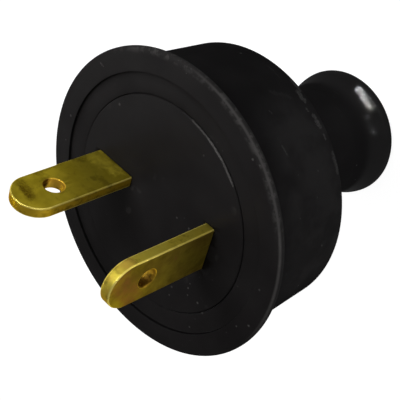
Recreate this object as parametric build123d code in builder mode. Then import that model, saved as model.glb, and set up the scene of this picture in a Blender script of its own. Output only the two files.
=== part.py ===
"""Two-pin plug: flat brass pins set at right angles to each other in a moulded rubber cover.

The plug stands on the flat end of its pull grip. The origin is the centre of that end, +Z runs along the
axis towards the pins, and +X runs from the radial pin to the crosswise pin. Sizes are in millimetres.
"""

import os
from math import atan2, hypot, tan

from build123d import *

# Flat pins, bent from brass strip
pin_width = 6.35
pin_thickness = 1.5
pin_spacing = 16.65  # between the two pins' middles
pin_projection = 15.2  # from the rim of the cover to the tip
pin_hole_diameter = 2.8
pin_hole_to_tip = 5.7  # from the hole's centre
pin_edge_round = 0.2
pin_bend_radius = 0.6  # inside the bend at the foot
terminal_offset = 4.8  # from a pin's middle plane to its terminal screw

# Terminal screws and washers
screw_diameter = 3.4
screw_reach = 2.4  # past the pin's tail, into the block
screw_tip_chamfer = 0.4
screw_head_diameter = 6.4
screw_head_height = 2.2
screw_head_round = 0.9
screw_slot_width = 0.9
screw_slot_depth = 1.1
thread_play = 0.05  # radial, between the screw and the tapped tail
washer_diameter = 7.0
washer_thickness = 0.8
washer_play = 0.2  # radial, round the screw
screw_hole_play = 0.3  # radial and past the tip, in the block

# Contact block
block_flange_thickness = 3.0  # held between the lip and the shoulder of the cover
block_edge_round = 0.3
barrier_thickness = 1.4  # wall between the two terminals
barrier_height = 4.2
barrier_round = 0.3
barrier_gap = 0.5  # from the ends of the barrier to the cover

# Rubber cover, along the axis from its rear end
grip_land = 0.15  # straight band between the grip's two rounds
grip_taper = 3.2  # from the band in to the neck
stem_length = 23.0  # grip and neck together
rear_wall = 2.6  # behind the wiring space
wiring_space = 1.9  # behind the screw heads
lip_thickness = 2.2  # in front of the block's flange
block_rise = 0.15  # of the block's face above the ring
rim_height = 0.4  # of the rim above the ring
flange_thickness = 1.0

# Rubber cover, outwards from the axis
cord_hole_diameter = 8.0
funnel_diameter = 14.0
funnel_depth = 6.0
grip_diameter = 18.2
neck_diameter = 15.8
terminal_gap = 0.45  # from the terminals to the cover
shoulder_width = 2.0  # behind the block's flange
lip_overlap = 1.5  # in front of the block's flange
block_gap = 0.1  # radial, between block and cover
cover_wall = 1.85  # round the block's flange, at the rear of the drum
drum_draft = 0.75  # by which the drum widens towards the flange
flange_overhang = 1.55
rim_width = 3.05

# Rounded edges of the cover
cord_mouth_round = 0.6
grip_rear_round = 0.9
grip_front_round = 2.5
flare_round = 8.0
neck_root_round = 1.5
drum_rear_round = 0.45
flange_root_round = 0.4
flange_rear_round = 0.3
flange_front_round = 0.35
rim_round = 0.15
ring_root_round = 0.25
mouth_round = 0.2
floor_round = 1.0

# Heights, stacked up from the rear end of the grip
taper_angle = atan2((grip_diameter - neck_diameter) / 2, grip_taper)
grip_front_z = grip_rear_round + grip_land + grip_front_round * tan(taper_angle / 2)
flare_end_z = grip_front_z + grip_taper
drum_z = stem_length
floor_z = drum_z + rear_wall
head_z = floor_z + wiring_space + screw_head_height
washer_z = head_z + washer_thickness
shoulder_z = washer_z + pin_thickness
lip_z = shoulder_z + block_flange_thickness
ring_z = lip_z + lip_thickness
block_face_z = ring_z + block_rise
rim_z = ring_z + rim_height
flange_z = rim_z - flange_thickness
pin_tip_z = rim_z + pin_projection

# Radii, worked out from the terminals to the flange
terminal_radius = max(pin_width, washer_diameter, screw_head_diameter) / 2
cavity_radius = hypot(pin_spacing / 2, terminal_offset) + terminal_radius + terminal_gap
block_flange_radius = cavity_radius + shoulder_width
groove_radius = block_flange_radius + block_gap
block_radius = block_flange_radius - lip_overlap
mouth_radius = block_radius + block_gap
drum_rear_radius = groove_radius + cover_wall
drum_front_radius = drum_rear_radius + drum_draft
flange_radius = drum_front_radius + flange_overhang
rim_radius = flange_radius - rim_width
cord_hole_radius = cord_hole_diameter / 2
grip_radius = grip_diameter / 2
neck_radius = neck_diameter / 2
screw_hole_radius = screw_diameter / 2 + screw_hole_play

# Places of the two pins and their terminals: the crosswise pin is the radial pin turned by a right angle
radial_stand = Plane(origin=(-pin_spacing / 2, 0, shoulder_z), x_dir=(1, 0, 0), z_dir=(0, 0, 1))
crosswise_stand = Plane(origin=(pin_spacing / 2, 0, shoulder_z), x_dir=(0, 1, 0), z_dir=(0, 0, 1))


def terminal_plane(stand, height):
    """Plane across a pin's terminal screw, facing the rear, at a height in the plug."""
    screw_centre = stand.from_local_coords((0, terminal_offset, height - shoulder_z))
    return Plane(origin=screw_centre, x_dir=stand.x_dir, z_dir=-stand.z_dir)


def rounded_strip(end_centre, length):
    """Draws the strip's flat outline in the open sketch: straight for a length, then a half circle."""
    with Locations((0, end_centre)):
        Circle(pin_width / 2)
        Rectangle(pin_width, length, align=(Align.CENTER, Align.MAX))


def flat_pin(stand):
    """Blade with a rounded tip and a hole, bent at the foot into a tail that lies on the block.

    The stand's origin is on the block's rear face, x runs across the blade and y along the tail.
    """
    along = Axis(stand.origin, stand.z_dir)
    half_thickness = pin_thickness / 2
    blade_length = pin_tip_z - shoulder_z
    tip_centre = blade_length - pin_width / 2
    tail_length = terminal_offset + pin_width / 2
    outer_plane = Plane(stand * Plane.XZ).offset(half_thickness)
    tail_plane = stand.offset(-pin_thickness)
    with BuildPart() as pin:
        with BuildSketch(Plane(stand * Plane.YZ)):
            with BuildLine():
                FilletPolyline(
                    (-half_thickness, blade_length),
                    (half_thickness, blade_length),
                    (half_thickness, 0),
                    (tail_length, 0),
                    (tail_length, -pin_thickness),
                    (-half_thickness, -pin_thickness),
                    radius=[0, 0, pin_bend_radius, 0, 0, pin_bend_radius + pin_thickness],
                    close=True,
                )
            make_face()
        extrude(amount=pin_width / 2, both=True)
        with BuildSketch(outer_plane):
            rounded_strip(tip_centre, tip_centre + pin_thickness)
        extrude(amount=-half_thickness - tail_length, mode=Mode.INTERSECT)
        with BuildSketch(tail_plane):
            rounded_strip(terminal_offset, terminal_offset + half_thickness)
        extrude(amount=pin_thickness + blade_length, mode=Mode.INTERSECT)
        fillet(pin.edges().filter_by(GeomType.CIRCLE).sort_by(along)[-2:], pin_edge_round)
        with BuildSketch(outer_plane):
            with Locations((0, blade_length - pin_hole_to_tip)):
                Circle(pin_hole_diameter / 2)
        extrude(amount=-pin_thickness, mode=Mode.SUBTRACT)
        with BuildSketch(tail_plane):
            with Locations((0, terminal_offset)):
                Circle(screw_diameter / 2 + thread_play)
        extrude(amount=pin_thickness, mode=Mode.SUBTRACT)
    return pin


def terminal_washer(seat):
    """Plain washer that lies on the seat."""
    with BuildPart() as washer:
        with BuildSketch(seat):
            Circle(washer_diameter / 2)
            Circle(screw_diameter / 2 + washer_play, mode=Mode.SUBTRACT)
        extrude(amount=washer_thickness)
    return washer


def terminal_screw(seat):
    """Slotted screw with a domed head, whose underside lies on the seat."""
    along = Axis(seat.origin, seat.z_dir)
    shank_length = washer_thickness + pin_thickness + screw_reach
    with BuildPart() as screw:
        with BuildSketch(seat):
            Circle(screw_head_diameter / 2)
        extrude(amount=screw_head_height)
        fillet(screw.edges().sort_by(along)[-1], screw_head_round)
        with BuildSketch(seat):
            Circle(screw_diameter / 2)
        extrude(amount=-shank_length)
        chamfer(screw.edges().sort_by(along)[0], screw_tip_chamfer)
        with BuildSketch(seat.offset(screw_head_height)):
            Rectangle(2 * screw_head_diameter, screw_slot_width)
        extrude(amount=-screw_slot_depth, mode=Mode.SUBTRACT)
    return screw


# The pins and what clamps the wires to them
radial_pin = flat_pin(radial_stand)
crosswise_pin = flat_pin(crosswise_stand)
radial_terminal_washer = terminal_washer(terminal_plane(radial_stand, washer_z))
crosswise_terminal_washer = terminal_washer(terminal_plane(crosswise_stand, washer_z))
radial_terminal_screw = terminal_screw(terminal_plane(radial_stand, head_z))
crosswise_terminal_screw = terminal_screw(terminal_plane(crosswise_stand, head_z))

# The contact block is moulded round both pins, with a barrier between the terminals behind it
screw_centres = [terminal_plane(stand, shoulder_z).origin for stand in (radial_stand, crosswise_stand)]
barrier_x = (screw_centres[0].X + screw_centres[1].X) / 2
barrier_radius = cavity_radius - barrier_gap
with BuildPart() as contact_block:
    with BuildSketch(Plane.XZ):
        with BuildLine():
            FilletPolyline(
                (0, block_face_z),
                (block_radius, block_face_z),
                (block_radius, lip_z),
                (block_flange_radius, lip_z),
                (block_flange_radius, shoulder_z),
                (0, shoulder_z),
                radius=[0, block_edge_round, 0, block_edge_round, block_edge_round, 0],
                close=True,
            )
        make_face()
    revolve(axis=Axis.Z)
    with BuildSketch(Plane.XY.offset(shoulder_z)):
        Circle(barrier_radius)
        with Locations((barrier_x, 0)):
            Rectangle(barrier_thickness, 2 * barrier_radius, mode=Mode.INTERSECT)
    extrude(amount=-barrier_height)
    fillet(contact_block.faces().sort_by(Axis.Z)[0].edges(), barrier_round)
    with BuildSketch(Plane.XY.offset(shoulder_z)):
        with Locations(*screw_centres):
            Circle(screw_hole_radius)
    extrude(amount=screw_reach + screw_hole_play, mode=Mode.SUBTRACT)
    add(radial_pin.part, mode=Mode.SUBTRACT)
    add(crosswise_pin.part, mode=Mode.SUBTRACT)

# The rubber cover is one turned section: outside from the grip to the rim, then inside to the cord hole
cover_section = [
    (cord_hole_radius, 0, cord_mouth_round),
    (grip_radius, 0, grip_rear_round),
    (grip_radius, grip_front_z, grip_front_round),
    (neck_radius, flare_end_z, flare_round),
    (neck_radius, drum_z, neck_root_round),
    (drum_rear_radius, drum_z, drum_rear_round),
    (drum_front_radius, flange_z, flange_root_round),
    (flange_radius, flange_z, flange_rear_round),
    (flange_radius, rim_z, flange_front_round),
    (rim_radius, rim_z, rim_round),
    (rim_radius, ring_z, ring_root_round),
    (mouth_radius, ring_z, mouth_round),
    (mouth_radius, lip_z, 0),
    (groove_radius, lip_z, 0),
    (groove_radius, shoulder_z, 0),
    (cavity_radius, shoulder_z, 0),
    (cavity_radius, floor_z, floor_round),
    (funnel_diameter / 2, floor_z, 0),
    (cord_hole_radius, floor_z - funnel_depth, 0),
]
with BuildPart() as rubber_cover:
    with BuildSketch(Plane.XZ):
        with BuildLine():
            FilletPolyline(
                *[(radius, height) for radius, height, corner_round in cover_section],
                radius=[corner_round for radius, height, corner_round in cover_section],
                close=True,
            )
        make_face()
    revolve(axis=Axis.Z)

pieces = {
    "rubber_cover": rubber_cover,
    "contact_block": contact_block,
    "radial_pin": radial_pin,
    "crosswise_pin": crosswise_pin,
    "radial_terminal_washer": radial_terminal_washer,
    "crosswise_terminal_washer": crosswise_terminal_washer,
    "radial_terminal_screw": radial_terminal_screw,
    "crosswise_terminal_screw": crosswise_terminal_screw,
}
os.makedirs("parts", exist_ok=True)
for name, piece in pieces.items():
    piece.part.label = name
    export_step(piece.part, f"parts/{name}.step")
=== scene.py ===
"""Dresses the two-pin plug: moulded black rubber, a contact block and flat brass pins on a white floor.

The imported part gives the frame. The plug stands on the flat end of its pull grip, +Z runs along its axis
towards the pins' tips, and +X runs from the radial pin to the crosswise pin. Blender's unit is the metre.
Sizes that a maker would read off a drawing are written in millimetres and brought to metres by MM.
"""

from __future__ import annotations

import logging
import math
from contextlib import contextmanager
from dataclasses import dataclass
from enum import Enum, IntEnum
from typing import Any, Callable, Iterator, Sequence

import bmesh
import bpy
from mathutils import Matrix, Vector

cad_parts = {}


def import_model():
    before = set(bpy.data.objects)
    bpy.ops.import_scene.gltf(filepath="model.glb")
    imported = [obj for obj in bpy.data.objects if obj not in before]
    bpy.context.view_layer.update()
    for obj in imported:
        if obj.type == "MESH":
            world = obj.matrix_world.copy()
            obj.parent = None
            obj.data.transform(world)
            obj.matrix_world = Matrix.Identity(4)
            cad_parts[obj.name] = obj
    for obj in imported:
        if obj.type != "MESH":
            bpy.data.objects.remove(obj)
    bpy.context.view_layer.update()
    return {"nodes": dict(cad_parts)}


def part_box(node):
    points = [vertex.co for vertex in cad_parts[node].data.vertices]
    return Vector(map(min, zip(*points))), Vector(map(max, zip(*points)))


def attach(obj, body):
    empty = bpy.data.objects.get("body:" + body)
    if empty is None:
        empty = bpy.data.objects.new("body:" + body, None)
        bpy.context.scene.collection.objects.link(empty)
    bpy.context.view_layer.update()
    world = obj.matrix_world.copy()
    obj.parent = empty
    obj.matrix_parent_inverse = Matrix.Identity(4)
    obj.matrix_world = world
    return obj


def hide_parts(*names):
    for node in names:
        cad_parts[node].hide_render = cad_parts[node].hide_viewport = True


LOG = logging.getLogger("two_pin_plug")

MM = 0.001
BODY = "root"
FULL_TURN = 2 * math.pi

Colour = tuple[float, float, float]
Point = tuple[float, float, float]
Piece = bpy.types.Object
Socket = bpy.types.NodeSocket
Source = Any  # a socket to join, or a plain value for the socket


class Slot(Enum):
    """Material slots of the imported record."""

    COVER = "cover_rubber"
    BLOCK = "block_moulding"
    PIN = "pin_brass"


class CoverFace(IntEnum):
    """Kinds of surface on the cover, in the order of its materials."""

    DRUM = 0
    HANDLE = 1
    FRONT = 2
    STEP = 3


class PinFace(IntEnum):
    """Kinds of surface on a pin, in the order of its materials."""

    FLAT = 0
    SIDE = 1
    EDGE = 2
    HOLE = 3


def on_round(radius: float, degrees: float, height: float) -> Point:
    """Gives a point by its distance from the axis, its direction about it and its height."""
    turn = math.radians(degrees)
    return radius * math.cos(turn), radius * math.sin(turn), height


# Modelling by hand: selecting, editing and finishing a mesh


def take_up(piece: Piece) -> None:
    """Makes a piece the only selected object, and the active one.

    Args:
        piece: The object to take up.
    """
    bpy.ops.object.select_all(action="DESELECT")
    piece.select_set(True)
    bpy.context.view_layer.objects.active = piece


@contextmanager
def editing(piece: Piece) -> Iterator[None]:
    """Opens a piece in edit mode with nothing selected, and leaves edit mode at the end.

    Args:
        piece: The mesh object to edit.
    """
    take_up(piece)
    bpy.ops.object.mode_set(mode="EDIT")
    bpy.ops.mesh.select_mode(type="VERT")
    bpy.ops.mesh.select_all(action="DESELECT")
    try:
        yield
    finally:
        bpy.ops.object.mode_set(mode="OBJECT")


def pick_points(piece: Piece, test: Callable[[Vector], bool]) -> None:
    """Selects the points of the open mesh that pass a test of their place.

    Args:
        piece: The object in edit mode.
        test: Tells whether a point at a place is wanted.
    """
    bpy.ops.mesh.select_mode(type="VERT")
    bpy.ops.mesh.select_all(action="DESELECT")
    mesh = bmesh.from_edit_mesh(piece.data)
    for point in mesh.verts:
        point.select_set(test(point.co))
    mesh.select_flush_mode()
    bmesh.update_edit_mesh(piece.data)


def pick_edges(piece: Piece, test: Callable[[Vector, Vector], bool]) -> None:
    """Selects the edges of the open mesh that pass a test of their two ends.

    Args:
        piece: The object in edit mode.
        test: Tells whether an edge between two places is wanted.
    """
    bpy.ops.mesh.select_mode(type="EDGE")
    bpy.ops.mesh.select_all(action="DESELECT")
    mesh = bmesh.from_edit_mesh(piece.data)
    for edge in mesh.edges:
        edge.select_set(test(edge.verts[0].co, edge.verts[1].co))
    mesh.select_flush_mode()
    bmesh.update_edit_mesh(piece.data)


def pick_faces(piece: Piece, test: Callable[[Vector, Vector], bool]) -> None:
    """Selects the faces of the open mesh that pass a test of their middle and normal.

    Args:
        piece: The object in edit mode.
        test: Tells whether a face with a middle and a normal is wanted.
    """
    bpy.ops.mesh.select_mode(type="FACE")
    bpy.ops.mesh.select_all(action="DESELECT")
    mesh = bmesh.from_edit_mesh(piece.data)
    for face in mesh.faces:
        face.select_set(test(face.calc_center_median(), face.normal))
    mesh.select_flush_mode()
    bmesh.update_edit_mesh(piece.data)


def add_modifier(piece: Piece, kind: str, **settings: Any) -> None:
    """Adds a modifier to a piece, sets it and applies it.

    Args:
        piece: The mesh object.
        kind: Blender's name for the modifier's type.
        settings: The modifier's own values.
    """
    take_up(piece)
    bpy.ops.object.modifier_add(type=kind)
    modifier = piece.modifiers[-1]
    for name, value in settings.items():
        setattr(modifier, name, value)
    bpy.ops.object.modifier_apply(modifier=modifier.name)


class Join(Enum):
    """Ways to work one closed mesh into another."""

    CUT = "DIFFERENCE"
    ADD = "UNION"
    SHARE = "INTERSECT"


def combine(piece: Piece, tool: Piece, join: Join = Join.CUT, keep_tool: bool = False) -> None:
    """Works one closed mesh into another.

    Args:
        piece: The mesh that is changed.
        tool: The mesh that is cut out of it, added to it or shared with it.
        join: Which of these is done.
        keep_tool: Whether the tool stays, as a piece of its own.
    """
    add_modifier(piece, "BOOLEAN", operation=join.value, solver="EXACT", object=tool)
    if not keep_tool:
        bpy.data.objects.remove(tool)


def block_of(size: Vector, centre: Vector) -> Piece:
    """Makes a plain block, for cutting or adding.

    Args:
        size: Its three sides.
        centre: Its middle.

    Returns:
        The block.
    """
    bpy.ops.object.select_all(action="DESELECT")
    bpy.ops.mesh.primitive_cube_add(size=1, location=centre, scale=size)
    made = bpy.context.object
    settle(made)
    return made


def round_drill(radius: float, centre: Vector, along: Vector, depth: float, sides: int = 64) -> Piece:
    """Makes a round bar to cut a hole with.

    Args:
        radius: Radius of the hole.
        centre: Middle of the bar.
        along: Direction of the hole.
        depth: Length of the bar.
        sides: Number of flats that stand for the round.

    Returns:
        The bar.
    """
    turn = along.to_track_quat("Z", "Y").to_euler()
    bpy.ops.object.select_all(action="DESELECT")
    bpy.ops.mesh.primitive_cylinder_add(
        vertices=sides, radius=radius, depth=depth, location=centre, rotation=turn
    )
    return bpy.context.object


def settle(piece: Piece) -> None:
    """Puts a piece's place, turn and size into its mesh, so that its object sits at the origin."""
    take_up(piece)
    bpy.ops.object.transform_apply(location=True, rotation=True, scale=True)


def smooth(piece: Piece, degrees: float) -> None:
    """Shades a piece smooth across edges flatter than an angle."""
    take_up(piece)
    bpy.ops.object.shade_smooth_by_angle(angle=math.radians(degrees))


def hand_over(piece: Piece, node: str, slot: Slot, *finishes: bpy.types.Material) -> Piece:
    """Gives a finished piece its materials and puts it in a solid's place.

    Args:
        piece: The finished mesh.
        node: The solid that it stands for.
        slot: Not used.
        finishes: The materials, in the order of the faces' material numbers.

    Returns:
        The piece.
    """
    numbers = [face.material_index for face in piece.data.polygons]
    piece.data.materials.clear()
    for finish in finishes:
        piece.data.materials.append(finish)
    piece.data.polygons.foreach_set("material_index", [min(n, len(finishes) - 1) for n in numbers])
    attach(piece, BODY)
    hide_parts(node)
    LOG.info("%s stands for %s, %d faces", piece.name, node, len(piece.data.polygons))
    return piece


@dataclass(frozen=True)
class Corner:
    """Corner of a turned section, in millimetres.

    Attributes:
        radius: Distance from the plug's axis.
        height: Height above the end of the grip.
        rounding: Radius of the rounded corner, or 0 for a sharp one.
        segments: Number of flats that stand for the rounding.
    """

    radius: float
    height: float
    rounding: float = 0.0
    segments: int = 4

    @property
    def place(self) -> Vector:
        """The corner in the XZ plane, in metres."""
        return Vector((self.radius, 0, self.height)) * MM


@dataclass(frozen=True)
class TurnedSection:
    """Closed outline that is spun about the plug's axis.

    Attributes:
        corners: The outline's corners, in order.
        steps: Number of steps in the full turn.
        longest: Longest straight step that stays whole, in millimetres.
        splits: Numbers of cuts that bring longer steps down to that, one after the other.
    """

    corners: Sequence[Corner]
    steps: int
    longest: float = 1.0
    splits: tuple[int, ...] = (8, 2, 1)

    def tangent_length(self, index: int) -> float:
        """Distance from a sharp corner to the ends of its rounding, in metres.

        Args:
            index: Place of the corner in the outline.

        Returns:
            The length along either side.
        """
        corner = self.corners[index]
        before = self.corners[index - 1].place
        after = self.corners[(index + 1) % len(self.corners)].place
        turn = (corner.place - before).angle(after - corner.place)
        return corner.rounding * MM * math.tan(turn / 2)

    def spin(self, name: str) -> Piece:
        """Draws the outline point by point, rounds its corners and spins it.

        Args:
            name: Name of the new piece.

        Returns:
            The closed mesh.
        """
        near = MM / 1000
        bpy.ops.object.select_all(action="DESELECT")
        bpy.ops.mesh.primitive_plane_add(size=MM)
        piece = bpy.context.object
        piece.name = piece.data.name = name
        with editing(piece):
            bpy.ops.mesh.select_all(action="SELECT")
            bpy.ops.mesh.merge(type="CENTER")
            bpy.ops.transform.translate(value=self.corners[0].place)
            for before, corner in zip(self.corners, self.corners[1:]):
                step = {"value": corner.place - before.place}
                bpy.ops.mesh.extrude_vertices_move(TRANSFORM_OT_translate=step)
            ends = (self.corners[0].place, self.corners[-1].place)
            pick_points(piece, lambda place: min((place - end).length for end in ends) < near)
            bpy.ops.mesh.edge_face_add()
            for index, corner in enumerate(self.corners):
                if corner.rounding:
                    pick_points(piece, lambda place: (place - corner.place).length < near)
                    bpy.ops.mesh.bevel(
                        offset=self.tangent_length(index),
                        segments=corner.segments,
                        profile=0.5,
                        affect="VERTICES",
                        clamp_overlap=False,
                    )
            for cuts in self.splits:
                too_long = self.longest * MM * (cuts + 1)
                pick_edges(piece, lambda first, second: (first - second).length > too_long)
                bpy.ops.mesh.subdivide(number_cuts=cuts)
            bpy.ops.mesh.select_all(action="SELECT")
            bpy.ops.mesh.spin(steps=self.steps, angle=FULL_TURN, center=(0, 0, 0), axis=(0, 0, 1))
            bpy.ops.mesh.select_all(action="SELECT")
            bpy.ops.mesh.remove_doubles(threshold=near)
            bpy.ops.mesh.normals_make_consistent(inside=False)
        return piece


# Shader nodes


class Wiring:
    """Adds nodes to one node tree and joins them."""

    def __init__(self, tree: bpy.types.NodeTree) -> None:
        """Takes the tree that the nodes go into."""
        self.tree = tree

    def node(self, kind: str, **settings: Any) -> bpy.types.Node:
        """Adds a node and sets its own values.

        Args:
            kind: Blender's name for the node's type.
            settings: The node's properties.

        Returns:
            The node.
        """
        made = self.tree.nodes.new(kind)
        for name, value in settings.items():
            setattr(made, name, value)
        return made

    def feed(self, target: Socket, source: Source) -> None:
        """Joins a socket to a source, or sets it where the source is a plain value."""
        if isinstance(source, bpy.types.NodeSocket):
            self.tree.links.new(source, target)
        else:
            target.default_value = source

    def math(self, operation: str, *terms: Source, clamp: bool = False) -> Socket:
        """Adds a Math node.

        Args:
            operation: Blender's name for the sum.
            terms: What goes into it.
            clamp: Whether the result stays between 0 and 1.

        Returns:
            The result.
        """
        made = self.node("ShaderNodeMath", operation=operation, use_clamp=clamp)
        for socket, term in zip(made.inputs, terms):
            self.feed(socket, term)
        return made.outputs[0]

    def vector(self, operation: str, first: Source, second: Source) -> Socket:
        """Adds a Vector Math node.

        Args:
            operation: Blender's name for the sum.
            first: A vector.
            second: A vector, or a number for all three of its parts.

        Returns:
            The result, a number where the sum gives one.
        """
        made = self.node("ShaderNodeVectorMath", operation=operation)
        self.feed(made.inputs[0], first)
        self.feed(made.inputs[1], second)
        return made.outputs["Value" if operation in ("DOT_PRODUCT", "DISTANCE") else "Vector"]

    def fade(self, value: Source, start: Source, end: Source) -> Socket:
        """Adds a smooth step from 0 at the start to 1 at the end.

        Args:
            value: What is measured.
            start: Value at which the result is 0.
            end: Value at which the result is 1.

        Returns:
            The result.
        """
        made = self.node("ShaderNodeMapRange", interpolation_type="SMOOTHSTEP")
        for name, source in (("Value", value), ("From Min", start), ("From Max", end)):
            self.feed(made.inputs[name], source)
        return made.outputs["Result"]

    def noise(self, place: Socket, scale: Source, detail: float = 3.0, rough: float = 0.55) -> Socket:
        """Adds a noise texture.

        Args:
            place: Coordinates.
            scale: Lumps in a unit of length.
            detail: Number of finer layers.
            rough: Strength of the finer layers.

        Returns:
            The noise, about 0.5.
        """
        made = self.node("ShaderNodeTexNoise")
        for name, source in (("Vector", place), ("Scale", scale), ("Detail", detail), ("Roughness", rough)):
            self.feed(made.inputs[name], source)
        return made.outputs["Fac"]

    def blend(self, share: Source, first: Source, second: Source) -> Socket:
        """Mixes two numbers by a share.

        Args:
            share: 0 for the first, 1 for the second.
            first: A number.
            second: A number.

        Returns:
            The mix.
        """
        made = self.node("ShaderNodeMix", data_type="FLOAT")
        for socket, source in zip((made.inputs[0], made.inputs[2], made.inputs[3]), (share, first, second)):
            self.feed(socket, source)
        return made.outputs[0]

    def tint(self, share: Source, first: Source, second: Source) -> Socket:
        """Mixes two colours by a share.

        Args:
            share: 0 for the first, 1 for the second.
            first: A colour.
            second: A colour.

        Returns:
            The mix.
        """
        made = self.node("ShaderNodeMix", data_type="RGBA")
        self.feed(made.inputs[0], share)
        for socket, colour in zip((made.inputs[6], made.inputs[7]), (first, second)):
            self.feed(socket, colour if isinstance(colour, bpy.types.NodeSocket) else (*colour, 1.0))
        return made.outputs[2]

    def group(self, tree: bpy.types.NodeTree, **inputs: Source) -> bpy.types.Node:
        """Places a node group.

        Args:
            tree: The group.
            inputs: What goes into its sockets, by name.

        Returns:
            The group's node.
        """
        made = self.node("ShaderNodeGroup", node_tree=tree)
        for name, source in inputs.items():
            self.feed(made.inputs[name], source)
        return made

    def millimetres(self) -> Socket:
        """Adds the piece's own coordinates, in millimetres.

        Returns:
            The coordinates.
        """
        coordinates = self.node("ShaderNodeTexCoord")
        scaled = self.node("ShaderNodeVectorMath", operation="SCALE")
        self.feed(scaled.inputs[0], coordinates.outputs["Object"])
        scaled.inputs["Scale"].default_value = 1 / MM
        return scaled.outputs[0]


def new_group(name: str, inputs: dict[str, str], outputs: Sequence[str]) -> tuple[Wiring, Any, Any]:
    """Starts a shader node group.

    Args:
        name: Name of the group.
        inputs: Each input's name, with Float or Vector.
        outputs: Names of the outputs, which are numbers.

    Returns:
        The group's wiring, its inputs by name and its outputs by name.
    """
    tree = bpy.data.node_groups.new(name, "ShaderNodeTree")
    for title, kind in inputs.items():
        tree.interface.new_socket(name=title, in_out="INPUT", socket_type=f"NodeSocket{kind}")
    for title in outputs:
        tree.interface.new_socket(name=title, in_out="OUTPUT", socket_type="NodeSocketFloat")
    wiring = Wiring(tree)
    return wiring, wiring.node("NodeGroupInput").outputs, wiring.node("NodeGroupOutput").inputs


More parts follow.
